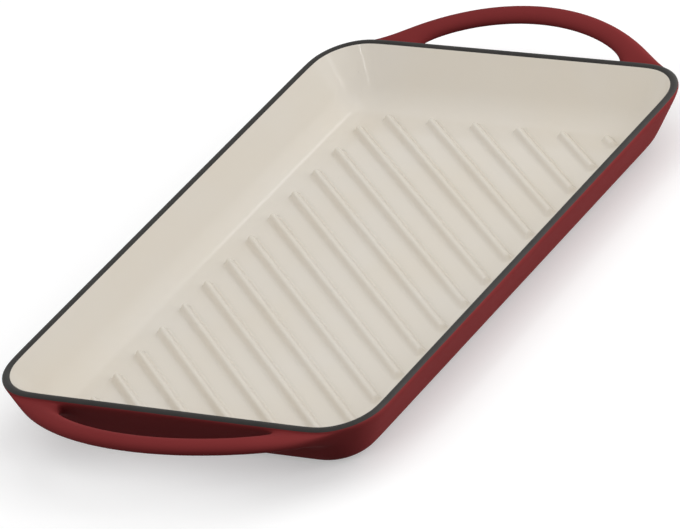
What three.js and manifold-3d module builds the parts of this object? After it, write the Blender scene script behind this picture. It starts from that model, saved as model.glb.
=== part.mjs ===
// An enamelled cast iron griddle pan: a ribbed tray with a loop handle at each end.
// Tray, ribs and handles are one iron casting, and glass enamel is fired on it in four coats.
// Millimetres and degrees, +Z up. X runs along the tray, Y across it, and the origin is under its middle.
import * as THREE from 'three';
import { mergeVertices } from 'three/addons/utils/BufferGeometryUtils.js';
import Module from 'manifold-3d';

// Tray, over the finished enamel
const rimLength = 364;
const rimWidth = 239.5;
const rimCornerRadius = 31.5;
const trayHeight = 35;
const wallThickness = 5;
const wallDraft = 33.5; // lean of the long walls from upright
const endDraft = 30; // lean of the end walls from upright
const floorThickness = 5;
const baseEdgeRadius = 20; // rounding between wall and underside
const baseCornerRadius = 14; // plan corner of the flat underside
const floorFilletRadius = 21.5; // rounding between inner wall and cooking floor
const floorCornerRadius = 9; // plan corner of the flat cooking floor

// Ribs on the cooking floor
const ribPitch = 17.85; // square to the ribs
const ribAngle = 51.4; // from X towards Y
const ribHeight = 3.4;
const ribFootWidth = 8.4;
const ribShoulderWidth = 3.6;
const ribShoulderHeight = 2.6;
const ribCrestWidth = 1.8;
const ribEndMargin = 1.5; // from the edge of the flat floor to the foot of a rib's end
const ribShortest = 12;

// Loop handles, each an oval bar bent along an arc in a plane that rises away from the tray
const handleReach = 38; // beyond the rim
const handleRadius = 134; // of the bar's centre line, in plan
const handleWidth = 11.3;
const handleThickness = 8.4;
const handleTilt = 15.6;
const handleRise = 2.6; // of the bar's centre over the rim at the middle of the loop
const rootSweep = 50; // from the middle of the loop to the bar's end inside the wall
const flareStart = 26; // where the bar's inner side begins to widen towards the root
const rootFlare = 16; // added to the bar's inner side at its end
const tuckStart = 38; // where the bar's outer side begins to turn into the wall
const rootTuck = 6; // taken off the bar's outer side at its end

// Enamel coats
const enamelThickness = 0.5;
const bondGap = 0.3; // between the iron and its coats
const seamGap = 0.3; // between neighbouring coats
const rimBandAngle = 26; // where the black band starts on the outside of the rounded rim, over level
const baseCoatAngle = 80; // where the base coat ends on the rounding, under level

// Smoothness of the round stretches
const cornerSteps = 6;
const edgeTurn = 14; // of each facet on the large roundings
const beadTurn = 20; // of each facet on the rim
const ribEndSteps = 3;
const barSteps = 26;
const barSides = 10;

// Depth below the finished surface at which the iron lies, and at which a joint inside it is hidden
const ironDepth = enamelThickness + bondGap;
const hiddenDepth = ironDepth + bondGap;
const blendDepth = enamelThickness / 2; // how far the parts of one coat run into each other

const wasm = await Module();
wasm.setup();

const radians = THREE.MathUtils.degToRad;
const lerp = THREE.MathUtils.mapLinear;

// A solid through closed rings of points, capped at both ends or joined end to start.
function loft(rings, joined = false) {
  const sides = rings[0].length;
  const index = [];
  const bands = joined ? rings.length : rings.length - 1;
  for (let band = 0; band < bands; band++) {
    const low = band * sides;
    const high = ((band + 1) % rings.length) * sides;
    for (let i = 0; i < sides; i++) {
      const next = (i + 1) % sides;
      index.push(low + i, low + next, high + next);
      index.push(low + i, high + next, high + i);
    }
  }
  if (!joined) {
    const last = (rings.length - 1) * sides;
    for (let i = 1; i < sides - 1; i++) {
      index.push(0, i + 1, i);
      index.push(last, last + i, last + i + 1);
    }
  }
  const geometry = new THREE.BufferGeometry().setFromPoints(rings.flat());
  geometry.setIndex(index);
  const merged = mergeVertices(geometry);
  const vertProperties = new Float32Array(merged.attributes.position.array);
  const triVerts = new Uint32Array(merged.index.array);
  return new wasm.Manifold(new wasm.Mesh({ numProp: 3, vertProperties, triVerts }));
}

const unite = (solids) => solids.reduce((whole, solid) => whole.add(solid));

// Tray section: arcs round a centre at an inset from the rim's outer edge. Angles are over level, outwards.
const lean = radians(wallDraft);
const beadRadius = wallThickness / 2;
const bead = { inset: beadRadius, z: trayHeight - beadRadius };
const baseEdge = { z: baseEdgeRadius };
const baseEdgeGap = baseEdgeRadius - beadRadius + Math.sin(lean) * (bead.z - baseEdge.z);
baseEdge.inset = bead.inset + baseEdgeGap / Math.cos(lean);
const fillet = { z: floorThickness + floorFilletRadius };
const filletGap = floorFilletRadius + beadRadius + Math.sin(lean) * (bead.z - fillet.z);
fillet.inset = bead.inset + filletGap / Math.cos(lean);
const innerEdge = bead.inset + beadRadius * Math.cos(lean);

// The plan at an inset of the long walls: the inset of the end walls, which are steeper, and the corner
// radius. The corners of the wall's outside and inside shrink evenly from the rim to the flat faces.
const endShare = Math.tan(radians(endDraft)) / Math.tan(lean);
const beadPlan = (inset) => ({ endInset: inset, radius: rimCornerRadius - inset });
const outerPlan = (inset) => ({
  endInset: inset * endShare,
  radius: lerp(inset, 0, baseEdge.inset, rimCornerRadius, baseCornerRadius),
});
const innerPlan = (inset) => ({
  endInset: innerEdge + (inset - innerEdge) * endShare,
  radius: lerp(inset, innerEdge, fillet.inset, rimCornerRadius - innerEdge, floorCornerRadius),
});

function trayRing(inset, z, { endInset, radius }) {
  const points = [];
  for (let quarter = 0; quarter < 4; quarter++) {
    const xSide = quarter === 0 || quarter === 3 ? 1 : -1;
    const ySide = quarter < 2 ? 1 : -1;
    for (let step = 0; step <= cornerSteps; step++) {
      const angle = (quarter + step / cornerSteps) * (Math.PI / 2);
      const x = xSide * (rimLength / 2 - endInset - radius) + radius * Math.cos(angle);
      const y = ySide * (rimWidth / 2 - inset - radius) + radius * Math.sin(angle);
      points.push(new THREE.Vector3(x, y, z));
    }
  }
  return points;
}

function arcRing(centre, radius, degrees, plan) {
  const angle = radians(degrees);
  const inset = centre.inset - radius * Math.cos(angle);
  return trayRing(inset, centre.z + radius * Math.sin(angle), plan(inset));
}

function arcRings(centre, radius, from, to, turn, plan) {
  const rings = [];
  const steps = Math.max(1, Math.round(Math.abs(to - from) / turn));
  for (let step = 0; step <= steps; step++) {
    rings.push(arcRing(centre, radius, from + ((to - from) * step) / steps, plan));
  }
  return rings;
}

// The stretches of the tray's surface, at a depth below the finished enamel.
const seamAngle = THREE.MathUtils.radToDeg(seamGap / beadRadius);
const innerAngle = 180 - wallDraft;
const baseSeamAngle = THREE.MathUtils.radToDeg(seamGap / baseEdgeRadius);
const undersideRings = (depth) =>
  arcRings(baseEdge, baseEdgeRadius - depth, -90, -baseCoatAngle - baseSeamAngle, edgeTurn, outerPlan);
const baseEdgeRings = (depth, from) =>
  arcRings(baseEdge, baseEdgeRadius - depth, from, -wallDraft, edgeTurn, outerPlan);
const beadRings = (depth, from, to) =>
  arcRings(bead, beadRadius - depth, from, to, beadTurn, beadPlan);
const filletRings = (depth) =>
  arcRings(fillet, floorFilletRadius + depth, -wallDraft, -90, edgeTurn, innerPlan);
const outsideRings = (depth) => [
  ...baseEdgeRings(depth, -baseCoatAngle),
  ...beadRings(depth, -wallDraft, rimBandAngle - seamAngle),
];
const insideRings = (depth) => [
  arcRing(bead, beadRadius - depth, innerAngle, beadPlan),
  ...filletRings(depth),
];

const coat = (ringsAt, joined) =>
  loft([...ringsAt(0), ...ringsAt(enamelThickness).reverse()], joined);

// Solid blocks that fill the tray's outline and its hollow, for trimming the handles' roots.
const outsideBlock = (depth) => loft([
  ...baseEdgeRings(depth, -90),
  ...beadRings(depth, -wallDraft, 90),
]);
const hollowBlock = (depth) => loft([
  ...filletRings(depth).reverse(),
  ...beadRings(depth, innerAngle, 90),
]);

// Ribs: parallel ridges with round ends, cut to length by a rectangle inside the flat floor.
const ribTurn = radians(ribAngle);
const along = new THREE.Vector3(Math.cos(ribTurn), Math.sin(ribTurn), 0);
const across = new THREE.Vector3(Math.sin(ribTurn), -Math.cos(ribTurn), 0);
const fieldX = rimLength / 2 - innerPlan(fillet.inset).endInset - ribEndMargin;
const fieldY = rimWidth / 2 - fillet.inset - ribEndMargin;

function ribLines() {
  const lines = [];
  const reach = fieldX * across.x - fieldY * across.y;
  const outermost = Math.floor(reach / ribPitch);
  for (let count = -outermost; count <= outermost; count++) {
    const middle = across.clone().multiplyScalar(count * ribPitch);
    const high = Math.min((fieldX - middle.x) / along.x, (fieldY - middle.y) / along.y);
    const low = Math.max((-fieldX - middle.x) / along.x, (-fieldY - middle.y) / along.y);
    if (high - low > ribShortest) {
      const start = middle.clone().addScaledVector(along, low + ribFootWidth / 2);
      const end = middle.clone().addScaledVector(along, high - ribFootWidth / 2);
      lines.push({ start, end });
    }
  }
  return lines;
}

function ribRing(line, halfWidth, z) {
  const points = [];
  for (const [centre, turn] of [[line.end, -90], [line.start, 90]]) {
    for (let step = 0; step <= ribEndSteps; step++) {
      const angle = ribTurn + radians(turn + (180 * step) / ribEndSteps);
      const x = centre.x + halfWidth * Math.cos(angle);
      const y = centre.y + halfWidth * Math.sin(angle);
      points.push(new THREE.Vector3(x, y, z));
    }
  }
  return points;
}

const ribs = (depth, sink) => unite(ribLines().map((line) => loft([
  ribRing(line, (ribFootWidth - depth) / 2, floorThickness - sink),
  ribRing(line, (ribFootWidth - depth) / 2, floorThickness - depth),
  ribRing(line, (ribShoulderWidth - depth) / 2, floorThickness + ribShoulderHeight - depth),
  ribRing(line, (ribCrestWidth - depth) / 2, floorThickness + ribHeight - depth),
])));

// Handles: an oval section carried along the arc, spreading inwards at the roots and turning into the wall.
const loopMiddle = rimLength / 2 + handleReach - handleWidth / 2;
const loopCentre = loopMiddle - handleRadius;
const tilt = radians(handleTilt);
const loopUp = new THREE.Vector3(-Math.sin(tilt), 0, Math.cos(tilt));
const upright = new THREE.Vector3(0, 0, 1);

function handle(depth, end) {
  const rings = [];
  for (let step = 0; step <= barSteps; step++) {
    const sweep = rootSweep * ((2 * step) / barSteps - 1);
    const angle = radians(sweep);
    const x = loopCentre + handleRadius * Math.cos(angle);
    const z = trayHeight + handleRise - (loopMiddle - x) * Math.tan(tilt);
    const centre = new THREE.Vector3(x, handleRadius * Math.sin(angle), z);
    const tangent = new THREE.Vector3(-Math.sin(angle), Math.cos(angle), -Math.sin(angle) * Math.tan(tilt));
    const inward = new THREE.Vector3().crossVectors(loopUp, tangent.normalize());
    const flare = rootFlare * THREE.MathUtils.smoothstep(Math.abs(sweep), flareStart, rootSweep);
    const tuck = rootTuck * THREE.MathUtils.smoothstep(Math.abs(sweep), tuckStart, rootSweep);
    centre.addScaledVector(inward, (flare + tuck) / 2);
    const halfWidth = (handleWidth + flare - tuck) / 2 - depth;
    const halfThickness = handleThickness / 2 - depth;
    const ring = [];
    for (let side = 0; side < barSides; side++) {
      const turn = (2 * Math.PI * side) / barSides;
      const point = centre.clone();
      point.addScaledVector(inward, halfWidth * Math.cos(turn));
      point.addScaledVector(loopUp, halfThickness * Math.sin(turn));
      ring.push(point.applyAxisAngle(upright, end));
    }
    rings.push(ring);
  }
  return loft(rings);
}

const handles = (depth) => handle(depth, 0).add(handle(depth, Math.PI));

// The casting and its coats.
function ironCasting() {
  const tray = loft([
    ...baseEdgeRings(ironDepth, -90),
    ...beadRings(ironDepth, -wallDraft, innerAngle),
    ...filletRings(ironDepth),
  ]);
  const loops = handles(ironDepth).subtract(hollowBlock(hiddenDepth));
  return unite([tray, loops, ribs(ironDepth, hiddenDepth)]);
}

function interiorEnamel() {
  const lining = loft([...insideRings(enamelThickness).reverse(), ...insideRings(0)]);
  return lining.add(ribs(0, blendDepth)).subtract(ribs(enamelThickness, hiddenDepth));
}

function exteriorEnamel() {
  const walls = coat(outsideRings, true);
  const sleeves = handles(0).subtract(outsideBlock(blendDepth));
  return walls.add(sleeves).subtract(handles(enamelThickness));
}

const rimEnamel = () => coat((depth) => beadRings(depth, rimBandAngle, innerAngle - seamAngle), true);

const baseEnamel = () => coat(undersideRings, false);

function node(name, solid, color, roughness, metalness) {
  const mesh = solid.getMesh();
  const geometry = new THREE.BufferGeometry();
  geometry.setAttribute('position', new THREE.BufferAttribute(mesh.vertProperties, 3));
  geometry.setIndex(new THREE.BufferAttribute(mesh.triVerts, 1));
  geometry.computeVertexNormals();
  const piece = new THREE.Mesh(geometry, new THREE.MeshStandardMaterial({ color, roughness, metalness }));
  piece.name = name;
  return piece;
}

const pan = new THREE.Group();
pan.add(node('iron_casting', ironCasting(), 0x4b4a49, 0.7, 0.8));
pan.add(node('interior_enamel', interiorEnamel(), 0xd6d0c2, 0.35, 0));
pan.add(node('exterior_enamel', exteriorEnamel(), 0x6b2b2d, 0.3, 0));
pan.add(node('rim_enamel', rimEnamel(), 0x3c3a38, 0.6, 0));
pan.add(node('base_enamel', baseEnamel(), 0x6b2b2d, 0.4, 0));

export default pan;
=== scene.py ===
"""An enamelled cast iron griddle pan, seen on a pale studio floor. Metres, +Z up."""
import math

import bmesh
import bpy
from mathutils import Matrix, Vector


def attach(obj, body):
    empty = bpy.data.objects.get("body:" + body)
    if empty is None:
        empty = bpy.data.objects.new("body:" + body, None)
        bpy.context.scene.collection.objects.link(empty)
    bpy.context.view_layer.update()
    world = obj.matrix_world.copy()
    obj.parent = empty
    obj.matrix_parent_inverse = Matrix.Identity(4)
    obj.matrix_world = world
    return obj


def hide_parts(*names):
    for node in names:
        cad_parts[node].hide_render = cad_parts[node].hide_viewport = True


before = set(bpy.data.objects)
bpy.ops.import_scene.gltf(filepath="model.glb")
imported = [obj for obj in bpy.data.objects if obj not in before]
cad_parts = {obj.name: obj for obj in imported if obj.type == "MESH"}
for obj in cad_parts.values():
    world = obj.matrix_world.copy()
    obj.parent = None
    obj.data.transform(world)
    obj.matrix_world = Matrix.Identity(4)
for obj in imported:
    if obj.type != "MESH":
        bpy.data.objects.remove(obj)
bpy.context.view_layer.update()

MM = 0.001
UP = Vector((0, 0, 1))

# Tray, over the finished enamel. Leans are in degrees from upright.
RIM_LENGTH = 364 * MM
RIM_WIDTH = 239.5 * MM
RIM_CORNER = 31.5 * MM
TRAY_HEIGHT = 35 * MM
RIM_ROUND = 2.5 * MM
SIDE_LEAN = 33.5
END_LEAN = 30
FLOOR_HEIGHT = 5 * MM
BASE_ROUND = 20 * MM
BASE_CORNER = 14 * MM
FLOOR_ROUND = 21.5 * MM
FLOOR_CORNER = 9 * MM
COAT = 0.45 * MM

# Where the coats end, in degrees over level round the rim's and the base's roundings
RED_TOP = 26
CREAM_TOP = 180 - SIDE_LEAN
BASE_EDGE = -80

# Ribs. The flank is pairs of half width and height over the floor, in millimetres.
RIB_PITCH = 17.85 * MM
RIB_ANGLE = math.radians(51.4)
RIB_CLEAR = 0.1 * MM
RIB_SHORTEST = 12 * MM
RIB_SHORTEN = 0.1 * MM
RIB_FOOT = 4.25 * MM
RIB_FLANK = [(4.2, 0), (3.9, 0.05), (3.6, 0.18), (3.3, 0.38), (3, 0.66), (2.7, 1.01), (2.4, 1.41),
             (2.1, 1.84), (1.8, 2.27), (1.5, 2.65), (1.2, 2.97), (0.95, 3.17), (0.7, 3.31), (0.45, 3.39),
             (0.2, 3.43), (0.03, 3.44)]
RIB_END_STEPS = 8

# Loop handles. The sweep is in degrees to each side of the middle.
HANDLE_REACH = 38 * MM
HANDLE_RADIUS = 134 * MM
HANDLE_WIDTH = 11.3 * MM
HANDLE_THICKNESS = 8.4 * MM
HANDLE_TILT = math.radians(15.6)
HANDLE_RISE = 2.6 * MM
HANDLE_SWEEP = 36
HANDLE_RINGS = 13
HANDLE_SIDES = 14

# Handle roots. The powers say how near to the root the slant and the flare set in.
ROOT_SLANT = 9.4 * MM
ROOT_SLANT_POWER = 3
ROOT_FLARE = 3.2 * MM
ROOT_FLARE_POWER = 6
ROOT_INNER = 69 * MM
ROOT_CUT = 79 * MM
ROOT_CUT_LEAN = 0.3
ROOT_LOW = 22 * MM
ROOT_MIDDLE = 28.5 * MM
ROOT_TURN = 45

# The cage that subdivision smooths: it rounds arcs off a little, so they start a little larger
SMOOTH_LEVELS = 2
CORNER_STEPS = 6
CORNER_TIGHTER = 0.973
RING_LARGER = 3 / (2 + math.cos(2 * math.pi / HANDLE_SIDES))
BASE_INSET = 6 * MM

# Where the cage is cut, in millimetres along the pan and across it, then in degrees over level round
# each rounding, then up the walls
CUTS_X = [0, 20, 40, 60, 80, 100, 118, 132]
CUTS_Y = [0, 20, 40, 56, ROOT_INNER / MM]
UNDERSIDE_ARC = [BASE_EDGE, -85, -90]
RED_LOW_ARC = [BASE_EDGE, -68, -56, -44, -SIDE_LEAN]
RED_HIGH_ARC = [-10, RED_TOP]
BLACK_ARC = [RED_TOP, 50, 74, 98, 122, CREAM_TOP]
CREAM_LOW_ARC = [-SIDE_LEAN, -45, -56, -67, -78, -90]
RED_HEIGHTS = [14.5 * MM, ROOT_LOW, ROOT_MIDDLE]
CREAM_HEIGHTS = [32.8 * MM, 30 * MM, 26 * MM, 22 * MM, 18 * MM]

# How near counts as the same point, in a band and in a rib, and as the height of the base or the floor
SAME_POINT = 1e-6
SAME_RIB_POINT = 0.01 * MM
AT_BASE = 0.01 * MM
AT_FLOOR = 0.1 * MM

# Enamel glaze. Its drift, its orange peel and its pinholes' cells are in waves per metre.
GLAZE_DRIFT = 17
PEEL = 330
PEEL_ROUGHNESS = 0.1
PINHOLE_CELLS = 120
PINHOLE_EDGE = (0.012, 0.03)
PINHOLE_RARE = (0.68, 0.7)
PINHOLE_DEPTH = 0.8
PINHOLE_SHADE = 0.35
PINHOLE_COLOUR = (0.05, 0.045, 0.04, 1)

# Casting grain, in waves per metre
GRAIN_DRIFT = 60
GRAIN = 1500
GRAIN_ROUGHNESS = 0.2

# Studio floor: its tone to look at, and its tone for the light that it throws back
STUDIO_SIZE = 6
STUDIO_DROP = 0.1 * MM
STUDIO_TONE = 0.75
STUDIO_BOUNCE = 0.12
STUDIO_GLOW = 0.35

# Soft light of the world: the ways that it travels, and its levels
FAR_LIGHT = (-0.62, -0.78, 0)
FAR_LEVEL = 0.255
HIGH_LIGHT = (0.62, -0.2, -0.76)
HIGH_LIGHT_EDGE = 0.35
HIGH_LEVEL = 0.87

# Lamps, all aimed at the pan: place, width and height, watts
LAMPS = {
    "key_lamp": ((1, -0.8, 1.6), (2.2, 2.2), 16.8),
    "far_lamp": ((1.36, 0, 1.39), (0.2, 0.2), 0.35),
    "right_lamp": ((0, -1.75, 1), (0.8, 0.8), 7.5),
    "side_lamp": ((0.3, -1.8, 0.35), (1.6, 0.5), 5),
    "low_strip": ((1, -1.6, 0.026), (1.4, 0.04), 23),
    "near_strip": ((-1.55, 0, 0.95), (0.05, 0.8), 2),
}


# Tray section. A station is an inset from the rim's outer edge, a height and the plan that it follows.
# A plan gives the inset at the ends and the corner's radius for an inset at the sides.
lean = math.radians(SIDE_LEAN)
end_share = math.tan(math.radians(END_LEAN)) / math.tan(lean)
rim_centre = (RIM_ROUND, TRAY_HEIGHT - RIM_ROUND)
base_drop = rim_centre[1] - BASE_ROUND
base_gap = BASE_ROUND - RIM_ROUND + math.sin(lean) * base_drop
base_centre = (RIM_ROUND + base_gap / math.cos(lean), BASE_ROUND)
floor_drop = rim_centre[1] - FLOOR_HEIGHT - FLOOR_ROUND
floor_gap = FLOOR_ROUND + RIM_ROUND + math.sin(lean) * floor_drop
floor_centre = (RIM_ROUND + floor_gap / math.cos(lean), FLOOR_HEIGHT + FLOOR_ROUND)
inner_edge = RIM_ROUND * (1 + math.cos(lean))


def rim_plan(inset):
    return inset, RIM_CORNER - inset


def outer_plan(inset):
    share = inset / base_centre[0]
    return inset * end_share, RIM_CORNER + (BASE_CORNER - RIM_CORNER) * share


def inner_plan(inset):
    share = (inset - inner_edge) / (floor_centre[0] - inner_edge)
    top = RIM_CORNER - inner_edge
    return inner_edge + (inset - inner_edge) * end_share, top + (FLOOR_CORNER - top) * share


def arc(centre, radius, degrees, plan):
    """Stations round a rounding."""
    stations = []
    for angle in map(math.radians, degrees):
        inset = centre[0] - radius * math.cos(angle)
        stations.append((inset, centre[1] + radius * math.sin(angle), plan))
    return stations


def wall(low, high, heights, plan):
    """Stations on the straight wall between two others."""
    stations = []
    for height in heights:
        share = (height - low[1]) / (high[1] - low[1])
        stations.append((low[0] + (high[0] - low[0]) * share, height, plan))
    return stations


# Surfaces
def rounded_plate(bm, place, corner, steps):
    """A flat rectangle with rounded corners. Gives its points."""
    plate = bmesh.ops.create_grid(bm, x_segments=1, y_segments=1, size=1, matrix=place)["verts"]
    return bmesh.ops.bevel(bm, geom=plate, offset=corner, segments=steps, profile=0.5,
                           affect="VERTICES", material=-1)["verts"]


def outline(bm, inset, height, plan):
    """A closed loop of edges round the tray: a rectangle with rounded corners."""
    end_inset, corner = plan(inset)
    size = (RIM_LENGTH / 2 - end_inset, RIM_WIDTH / 2 - inset, 1, 1)
    place = Matrix.Translation((0, 0, height)) @ Matrix.Diagonal(size)
    rounded = rounded_plate(bm, place, corner * CORNER_TIGHTER, CORNER_STEPS)
    edges = list({edge for vert in rounded for edge in vert.link_edges})
    faces = list({face for vert in rounded for face in vert.link_faces})
    bmesh.ops.delete(bm, geom=faces, context="FACES_ONLY")
    return edges


def cut_across(bm, point, normal):
    """Adds edges where a plane crosses the surface."""
    bmesh.ops.bisect_plane(bm, geom=bm.verts[:] + bm.edges[:] + bm.faces[:], dist=SAME_POINT,
                           plane_co=point, plane_no=normal)


def band(bm, stations):
    """The surface through outlines at these stations, with the cage's cuts across it."""
    loops = [outline(bm, *station) for station in stations]
    for lower, upper in zip(loops, loops[1:]):
        bmesh.ops.bridge_loops(bm, edges=lower + upper)
    for cuts, axis in ((CUTS_X, Vector((1, 0, 0))), (CUTS_Y, Vector((0, 1, 0)))):
        for side in (-1, 1):
            for cut in cuts:
                cut_across(bm, axis * side * cut * MM, axis)
    bmesh.ops.remove_doubles(bm, verts=bm.verts[:], dist=SAME_POINT)


def face_towards(bm, point):
    """Turns the whole surface so that the face nearest to a point looks at it."""
    bmesh.ops.recalc_face_normals(bm, faces=bm.faces[:])
    bm.normal_update()
    nearest = min(bm.faces, key=lambda face: (face.calc_center_median() - point).length)
    if nearest.normal.dot(point - nearest.calc_center_median()) < 0:
        bmesh.ops.reverse_faces(bm, faces=bm.faces[:])


def in_scene(name, data):
    """A new object, linked to the scene."""
    made = bpy.data.objects.new(name, data)
    bpy.context.scene.collection.objects.link(made)
    return made


def subdivide(cage):
    smooth = cage.modifiers.new("smooth", "SUBSURF")
    smooth.levels = smooth.render_levels = SMOOTH_LEVELS


def piece(name, bm, material, node, is_cage=True):
    """Makes an object of a coat's outer surface, smooths it and gives it its thickness."""
    mesh = bpy.data.meshes.new(name)
    bm.to_mesh(mesh)
    bm.free()
    mesh.shade_smooth()
    mesh.materials.append(material)
    coat = in_scene(name, mesh)
    if is_cage:
        subdivide(coat)
    shell = coat.modifiers.new("coat", "SOLIDIFY")
    shell.thickness = COAT
    shell.offset = -1
    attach(coat, "root")
    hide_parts(node)


# Red exterior: the outer wall, with a hole on each corner's end face that the handle grows from
wall_low = arc(base_centre, BASE_ROUND, [-SIDE_LEAN], outer_plan)[0]
wall_high = arc(rim_centre, RIM_ROUND, [-SIDE_LEAN], outer_plan)[0]
outer_stations = [
    *arc(base_centre, BASE_ROUND, RED_LOW_ARC, outer_plan),
    *wall(wall_low, wall_high, RED_HEIGHTS, outer_plan),
    *arc(rim_centre, RIM_ROUND, RED_HIGH_ARC, rim_plan),
]


def handle_rings(bm, end):
    """Rings of points along the bar, each from its outer side downwards. Towards the roots they turn
    with the wall and spread to the inner side."""
    middle = RIM_LENGTH / 2 + HANDLE_REACH - HANDLE_WIDTH / 2
    up = Vector((-math.sin(HANDLE_TILT), 0, math.cos(HANDLE_TILT)))
    rings = []
    for step in range(HANDLE_RINGS):
        share = 2 * step / (HANDLE_RINGS - 1) - 1
        angle = math.radians(HANDLE_SWEEP * share)
        x = middle - HANDLE_RADIUS * (1 - math.cos(angle))
        z = TRAY_HEIGHT + HANDLE_RISE - (middle - x) * math.tan(HANDLE_TILT)
        along = Vector((-math.sin(angle), math.cos(angle), -math.sin(angle) * math.tan(HANDLE_TILT)))
        along.normalize()
        inward = up.cross(along)
        flare = ROOT_FLARE * share ** ROOT_FLARE_POWER
        centre = Vector((x, HANDLE_RADIUS * math.sin(angle), z)) + inward * flare / 2
        slant = along * ROOT_SLANT * share ** ROOT_SLANT_POWER
        across = inward * (HANDLE_WIDTH + flare) / 2 - slant
        section = Matrix((across, up * HANDLE_THICKNESS / 2, along))
        place = Matrix.Translation(centre) @ section.transposed().to_4x4()
        ring = bmesh.ops.create_circle(bm, segments=HANDLE_SIDES, radius=RING_LARGER,
                                       matrix=Matrix.Rotation(end, 4, "Z") @ place
                                       @ Matrix.Rotation(math.pi / 2, 4, "Z"))["verts"]
        rings.append(ring)
    return rings


def root_hole(bm, x_side, y_side):
    """Opens the wall where a handle's root leaves it, and gives the opening's points."""
    corner = Vector((RIM_LENGTH / 2 - RIM_CORNER, RIM_WIDTH / 2 - RIM_CORNER))
    top = outer_stations[-2][1]
    patch = []
    for face in bm.faces:
        x, y, z = face.calc_center_median() * Vector((x_side, y_side, 1))
        turn = math.degrees(math.atan2(y - corner.y, x - corner.x))
        if ROOT_LOW < z < top and y > ROOT_INNER and x > corner.x and turn < ROOT_TURN:
            patch.append(face)
    points = {vert for face in patch for vert in face.verts}
    bmesh.ops.delete(bm, geom=patch, context="FACES")
    return [vert for vert in points if vert.is_valid]


def join(bm, ring, following):
    """Faces between two rings of points."""
    edges = []
    for points in (set(ring), set(following)):
        linked = {edge for vert in points for edge in vert.link_edges}
        edges += [edge for edge in linked if points.issuperset(edge.verts)]
    bmesh.ops.bridge_loops(bm, edges=edges)


def red_exterior():
    bm = bmesh.new()
    band(bm, outer_stations)
    for y_side in (1, -1):
        cut_across(bm, (0, y_side * ROOT_CUT, ROOT_MIDDLE), (0, y_side, -ROOT_CUT_LEAN))
    holes = {(x, y): root_hole(bm, x, y) for x in (1, -1) for y in (1, -1)}
    for x_side, end in ((1, 0), (-1, math.pi)):
        rings = [holes[x_side, -x_side], *handle_rings(bm, end), holes[x_side, x_side]]
        for ring, following in zip(rings, rings[1:]):
            join(bm, ring, following)
    face_towards(bm, Vector((0, -RIM_WIDTH, 0)))
    return bm


def black_rim():
    bm = bmesh.new()
    band(bm, arc(rim_centre, RIM_ROUND, BLACK_ARC, rim_plan))
    face_towards(bm, UP)
    return bm


def base_coat():
    bm = bmesh.new()
    band(bm, arc(base_centre, BASE_ROUND, UNDERSIDE_ARC, outer_plan))
    lowest = [edge for edge in bm.edges if max(vert.co.z for vert in edge.verts) < AT_BASE]
    flat = bmesh.ops.holes_fill(bm, edges=lowest)["faces"]
    bmesh.ops.inset_region(bm, faces=flat, thickness=BASE_INSET, use_boundary=True, use_even_offset=True)
    face_towards(bm, -UP)
    return bm


# Cream interior: the inner wall, with the ribs and the floor between them filled in at its foot
def cream_wall():
    low = arc(floor_centre, FLOOR_ROUND, [-SIDE_LEAN], inner_plan)[0]
    high = arc(rim_centre, RIM_ROUND, [CREAM_TOP], rim_plan)[0]
    bm = bmesh.new()
    band(bm, [high, *wall(low, high, CREAM_HEIGHTS, inner_plan),
              *arc(floor_centre, FLOOR_ROUND, CREAM_LOW_ARC, inner_plan)])
    return bm


def rib_lines():
    """The two tips of each rib. Its round ends stay just clear of the floor's edge and corners."""
    half_x = RIM_LENGTH / 2 - inner_plan(floor_centre[0])[0]
    half_y = RIM_WIDTH / 2 - floor_centre[0]
    reach = FLOOR_CORNER - RIB_FOOT - RIB_CLEAR
    along = Vector((math.cos(RIB_ANGLE), math.sin(RIB_ANGLE), 0))
    across = Vector((along.y, -along.x, 0))
    outermost = int((half_x * across.x - half_y * across.y) / RIB_PITCH)
    lines = []
    for count in range(-outermost, outermost + 1):
        middle = across * count * RIB_PITCH
        tips = []
        for side in (-1, 1):
            length = min((half_x - side * middle.x) / along.x, (half_y - side * middle.y) / along.y)
            over = Vector((half_x, half_y))
            while over.length > reach:
                length -= RIB_SHORTEN
                centre = side * middle + along * length
                over = Vector((max(0, centre.x - half_x + FLOOR_CORNER),
                               max(0, centre.y - half_y + FLOOR_CORNER)))
            tips.append(middle + along * side * (length + RIB_FOOT))
        if (tips[1] - tips[0]).dot(along) > RIB_SHORTEST:
            lines.append(tips)
    return lines


def rib(bm, start, end):
    """A ridge with round ends, raised from its footprint in small steps."""
    size = ((end - start).length / 2, RIB_FOOT, 1, 1)
    place = (Matrix.Translation((start + end) / 2 + Vector((0, 0, FLOOR_HEIGHT)))
             @ Matrix.Rotation(RIB_ANGLE, 4, "Z") @ Matrix.Diagonal(size))
    rounded = rounded_plate(bm, place, RIB_FOOT, RIB_END_STEPS)
    top = rounded[0].link_faces[0]
    bmesh.ops.remove_doubles(bm, verts=rounded, dist=SAME_RIB_POINT)
    last_width, last_height = RIB_FOOT / MM, 0
    for width, height in RIB_FLANK:
        bmesh.ops.inset_region(bm, faces=[top], thickness=(last_width - width) * MM,
                               depth=(height - last_height) * MM, use_boundary=True, use_even_offset=True)
        last_width, last_height = width, height


def smoothed(bm):
    """Puts the subdivided mesh in the cage's place, to model on."""
    mesh = bpy.data.meshes.new("cage")
    bm.to_mesh(mesh)
    cage = in_scene("cage", mesh)
    subdivide(cage)
    graph = bpy.context.evaluated_depsgraph_get()
    result = bpy.data.meshes.new_from_object(cage.evaluated_get(graph))
    bm.clear()
    bm.from_mesh(result)
    bpy.data.objects.remove(cage)
    bpy.data.meshes.remove(mesh)
    bpy.data.meshes.remove(result)


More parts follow.
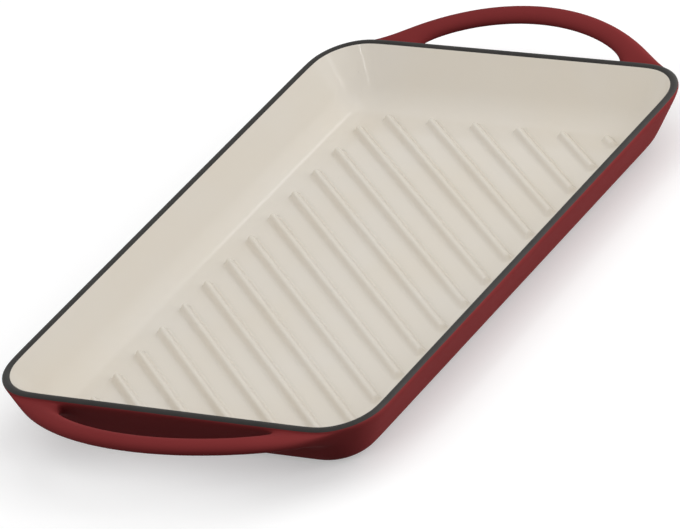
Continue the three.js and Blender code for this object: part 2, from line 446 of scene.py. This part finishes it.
def cream_interior():
    bm = cream_wall()
    smoothed(bm)
    for start, end in rib_lines():
        rib(bm, start, end)
    edges = [edge for edge in bm.edges
             if edge.is_boundary and edge.verts[0].co.z < FLOOR_HEIGHT + AT_FLOOR]
    bmesh.ops.triangle_fill(bm, use_beauty=True, use_dissolve=False, edges=edges, normal=UP)
    face_towards(bm, UP)
    return bm


# Nodes
def put(tree, kind, inputs, **settings):
    """Adds a node. Each input is a value or another node's output."""
    made = tree.nodes.new("ShaderNode" + kind)
    for name, value in settings.items():
        setattr(made, name, value)
    for name, value in inputs.items():
        if isinstance(value, bpy.types.NodeSocket):
            tree.links.new(value, made.inputs[name])
        else:
            made.inputs[name].default_value = value
    return made


def calc(tree, operation, *values):
    return put(tree, "Math", dict(enumerate(values)), operation=operation).outputs[0]


def spread(tree, value, low, high, start=0, end=1):
    """Maps the range from low to high onto the one from start to end."""
    return put(tree, "MapRange", {"Value": value, "From Min": low, "From Max": high,
                                  "To Min": start, "To Max": end}).outputs[0]


def noise(tree, place, scale, detail, roughness):
    return put(tree, "TexNoise", {"Vector": place, "Scale": scale, "Detail": detail,
                                  "Roughness": roughness}).outputs[0]


def blend(tree, share, first, second):
    """Mixes two colours, which are the node's sockets 6 and 7."""
    return put(tree, "Mix", {0: share, 6: first, 7: second}, data_type="RGBA").outputs[2]


# Finishes
def shader_group(name, inputs, outputs):
    """An empty node group with these sockets, its input node and its output node."""
    group = bpy.data.node_groups.new(name, "ShaderNodeTree")
    for names, side in ((inputs, "INPUT"), (outputs, "OUTPUT")):
        for socket in names:
            kind = "NodeSocketColor" if socket.endswith("Colour") else "NodeSocketFloat"
            group.interface.new_socket(socket, in_out=side, socket_type=kind)
    return group, group.nodes.new("NodeGroupInput").outputs, group.nodes.new("NodeGroupOutput").inputs


def fired_glaze():
    """Enamel: slow drift between two tones, a faint orange peel and rare pinholes."""
    tree, given, result = shader_group("fired_glaze", ["Colour", "Pooled Colour", "Least Roughness"],
                                       ["Colour", "Roughness", "Height"])
    place = put(tree, "TexCoord", {}).outputs["Object"]
    drift = noise(tree, place, GLAZE_DRIFT, detail=3, roughness=0.45)
    drift = spread(tree, drift, low=0.3, high=0.7)
    peel = noise(tree, place, PEEL, detail=2, roughness=0.4)
    cells = put(tree, "TexVoronoi", {"Vector": place, "Scale": PINHOLE_CELLS}).outputs
    spot = spread(tree, cells["Distance"], *PINHOLE_EDGE, start=1, end=0)
    rare = spread(tree, cells["Color"], *PINHOLE_RARE)
    pinhole = calc(tree, "MULTIPLY", spot, rare)
    tone = blend(tree, drift, given["Colour"], given["Pooled Colour"])
    tone = blend(tree, calc(tree, "MULTIPLY", pinhole, PINHOLE_SHADE), tone, PINHOLE_COLOUR)
    rough = calc(tree, "MULTIPLY_ADD", peel, PEEL_ROUGHNESS, given["Least Roughness"])
    height = calc(tree, "MULTIPLY_ADD", pinhole, -PINHOLE_DEPTH, peel)
    for name, value in (("Colour", tone), ("Roughness", rough), ("Height", height)):
        tree.links.new(value, result[name])
    return tree


def cast_grain():
    """The fine sand grain that a casting keeps under a thin matte coat."""
    tree, given, result = shader_group("cast_grain", ["Colour", "Worn Colour", "Least Roughness"],
                                       ["Colour", "Roughness", "Height"])
    place = put(tree, "TexCoord", {}).outputs["Object"]
    drift = noise(tree, place, GRAIN_DRIFT, detail=4, roughness=0.6)
    drift = spread(tree, drift, low=0.35, high=0.7)
    sand = noise(tree, place, GRAIN, detail=3, roughness=0.6)
    tone = blend(tree, drift, given["Colour"], given["Worn Colour"])
    rough = calc(tree, "MULTIPLY_ADD", sand, GRAIN_ROUGHNESS, given["Least Roughness"])
    for name, value in (("Colour", tone), ("Roughness", rough), ("Height", sand)):
        tree.links.new(value, result[name])
    return tree


def finish(name, effect, given, specular, bump, depth):
    """A material whose colour, roughness and relief come from one of the effects."""
    material = bpy.data.materials.new(name)
    material.use_nodes = True
    tree = material.node_tree
    shader = tree.nodes["Principled BSDF"]
    surface = put(tree, "Group", {}, node_tree=effect)
    for socket, value in given.items():
        surface.inputs[socket].default_value = value
    relief = put(tree, "Bump", {"Strength": bump, "Distance": depth, "Height": surface.outputs["Height"]})
    tree.links.new(surface.outputs["Colour"], shader.inputs["Base Color"])
    tree.links.new(surface.outputs["Roughness"], shader.inputs["Roughness"])
    tree.links.new(relief.outputs["Normal"], shader.inputs["Normal"])
    shader.inputs["Specular IOR Level"].default_value = specular
    return material


glaze, grain = fired_glaze(), cast_grain()
cream = finish("cream_enamel", glaze,
               {"Colour": (0.70, 0.655, 0.585, 1), "Pooled Colour": (0.695, 0.64, 0.555, 1),
                "Least Roughness": 0.05}, specular=0.22, bump=0.15, depth=0.015 * MM)
red = finish("red_enamel", glaze,
             {"Colour": (0.196, 0.03, 0.031, 1), "Pooled Colour": (0.182, 0.027, 0.028, 1),
              "Least Roughness": 0.5}, specular=0.005, bump=0.3, depth=0.03 * MM)
base = finish("base_enamel", glaze,
              {"Colour": (0.18, 0.025, 0.026, 1), "Pooled Colour": (0.16, 0.022, 0.023, 1),
               "Least Roughness": 0.5}, specular=0.01, bump=0.4, depth=0.06 * MM)
black = finish("black_enamel", grain,
               {"Colour": (0.025, 0.0235, 0.022, 1), "Worn Colour": (0.034, 0.032, 0.03, 1),
                "Least Roughness": 0.5}, specular=0.2, bump=0.5, depth=0.06 * MM)
iron = finish("cast_iron", grain,
              {"Colour": (0.06, 0.058, 0.056, 1), "Worn Colour": (0.08, 0.078, 0.075, 1),
               "Least Roughness": 0.55}, specular=0.5, bump=0.8, depth=0.12 * MM)

piece("red_exterior", red_exterior(), red, "exterior_enamel")
piece("black_rim", black_rim(), black, "rim_enamel")
piece("cream_interior", cream_interior(), cream, "interior_enamel", is_cage=False)
piece("base_coat", base_coat(), base, "base_enamel")
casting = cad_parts["iron_casting"]
casting.data.materials.clear()
casting.data.materials.append(iron)


# Studio
def area_light(name, place, size, power):
    data = bpy.data.lights.new(name, "AREA")
    data.shape = "RECTANGLE"
    data.size, data.size_y = size
    data.energy = power
    lamp = in_scene(name, data)
    lamp.location = place
    lamp.rotation_euler = (-Vector(place)).to_track_quat("-Z", "Y").to_euler()


def seen_as_backdrop(tree):
    """1 for the rays that show the backdrop itself, in the picture or in a reflection."""
    ray = put(tree, "LightPath", {}).outputs
    seen = calc(tree, "MAXIMUM", ray["Is Camera Ray"], ray["Is Glossy Ray"])
    return calc(tree, "MAXIMUM", seen, ray["Is Transmission Ray"])


def studio_floor():
    """Pale to look at, a hair under the pan. It throws little light back up."""
    bm = bmesh.new()
    bmesh.ops.create_grid(bm, x_segments=1, y_segments=1, size=STUDIO_SIZE,
                          matrix=Matrix.Translation((0, 0, -STUDIO_DROP)))
    mesh = bpy.data.meshes.new("studio_floor")
    bm.to_mesh(mesh)
    bm.free()
    floor = in_scene("studio_floor", mesh)
    material = bpy.data.materials.new("studio_floor")
    material.use_nodes = True
    tree = material.node_tree
    shader = tree.nodes["Principled BSDF"]
    seen = seen_as_backdrop(tree)
    tone = spread(tree, seen, low=0, high=1, start=STUDIO_BOUNCE, end=STUDIO_TONE)
    glow = calc(tree, "MULTIPLY", seen, STUDIO_GLOW)
    tree.links.new(tone, shader.inputs["Base Color"])
    tree.links.new(glow, shader.inputs["Emission Strength"])
    shader.inputs["Emission Color"].default_value = (1, 1, 1, 1)
    shader.inputs["Roughness"].default_value = 0.6
    shader.inputs["Specular IOR Level"].default_value = 0
    mesh.materials.append(material)


def studio_world():
    """White as a backdrop. Its soft light comes most from the far left, and from high up over the near
    end."""
    world = bpy.data.worlds.new("studio")
    bpy.context.scene.world = world
    world.use_nodes = True
    tree = world.node_tree
    travel = put(tree, "NewGeometry", {}).outputs["Incoming"]
    far, high = [put(tree, "VectorMath", {0: travel, 1: way}, operation="DOT_PRODUCT").outputs["Value"]
                 for way in (FAR_LIGHT, HIGH_LIGHT)]
    far = calc(tree, "MULTIPLY_ADD", far, FAR_LEVEL, FAR_LEVEL)
    high = spread(tree, high, low=HIGH_LIGHT_EDGE, high=1, end=HIGH_LEVEL)
    level = calc(tree, "ADD", far, high)
    level = put(tree, "Mix", {0: seen_as_backdrop(tree), 2: level, 3: 1}, data_type="FLOAT").outputs[0]
    sky = tree.nodes["Background"]
    sky.inputs["Color"].default_value = (1, 1, 1, 1)
    tree.links.new(level, sky.inputs["Strength"])


def camera():
    """The photograph's view of the pan."""
    data = bpy.data.cameras.new("camera")
    data.sensor_width = 36
    data.lens = 399.15
    data.clip_end = 50
    place = Vector((-2.7105, -2.2439, 1.9803))
    right = Vector((0.513, -0.8249, -0.2376))
    up = Vector((0.5351, 0.0909, 0.8399))
    back = Vector((-0.6712, -0.558, 0.4881))
    eye = in_scene("camera", data)
    eye.matrix_world = Matrix.Translation(place) @ Matrix((right, up, back)).transposed().to_4x4()
    bpy.context.scene.camera = eye


studio_floor()
studio_world()
camera()
for name, (place, size, power) in LAMPS.items():
    area_light(name, place, size, power)
bpy.context.scene.view_settings.view_transform = "Standard"
